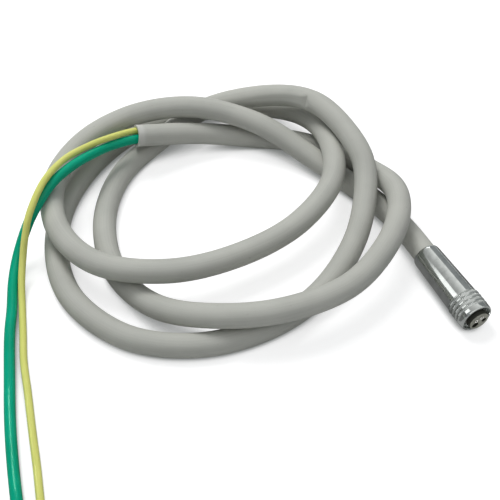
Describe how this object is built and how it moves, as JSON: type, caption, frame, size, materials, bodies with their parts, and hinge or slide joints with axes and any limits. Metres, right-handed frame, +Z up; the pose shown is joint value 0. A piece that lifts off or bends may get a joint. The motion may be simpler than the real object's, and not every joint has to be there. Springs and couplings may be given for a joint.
{
  "type": "dental handpiece hose",
  "caption": "Silicone handpiece hose lying in loose loops, with a screw coupling with air and water ports, and drive air and water tubes coming out of its cut end.",
  "frame": {"origin": "on the table under the middle of the coupling, which is measured without the hose and its tubes", "axes": "+Z up from the table, the coupling lies along Y with its mouth towards -Y, +X to the right as seen from the mouth"},
  "size_m": [0.2005, 0.213, 0.0313],
  "materials": {
    "hose_silicone": "satin warm light grey silicone",
    "drive_tube_plastic": "glossy green tube",
    "water_tube_plastic": "glossy yellow tube",
    "nut_chrome": "polished chrome",
    "washer_plastic": "matte",
    "core_metal": "nickel plated, satin",
    "gasket_rubber": "matte grey rubber",
    "port_steel": "drawn steel tube",
    "plug_brass": "plain",
    "ring_rubber": "matte black",
    "ferrule_steel": "plain"
  },
  "bodies": {
    "hose_end": {"outer_hose": "hose_silicone", "drive_air_tube": "drive_tube_plastic", "water_tube": "water_tube_plastic", "connector_core": "core_metal", "face_gasket": "gasket_rubber", "water_port_tube": "port_steel", "chip_air_port_tube": "port_steel", "chip_air_plug": "plug_brass", "drive_air_spigot": "port_steel", "core_o_ring": "ring_rubber", "hose_barb": "core_metal", "hose_ferrule": "ferrule_steel"},
    "nut_carrier": {"slip_washer": "washer_plastic"},
    "nut": {"coupling_nut": "nut_chrome"}
  },
  "joints": [
    {"name": "nut_slide", "type": "slide", "parent": "hose_end", "child": "nut_carrier", "axis": [0, -1, 0], "range_m": [-0.012, 0.008]},
    {"name": "nut_spin", "type": "hinge", "parent": "nut_carrier", "child": "nut", "pos_m": [0, 0, 0.007], "axis": [0, -1, 0], "continuous": true}
  ]
}
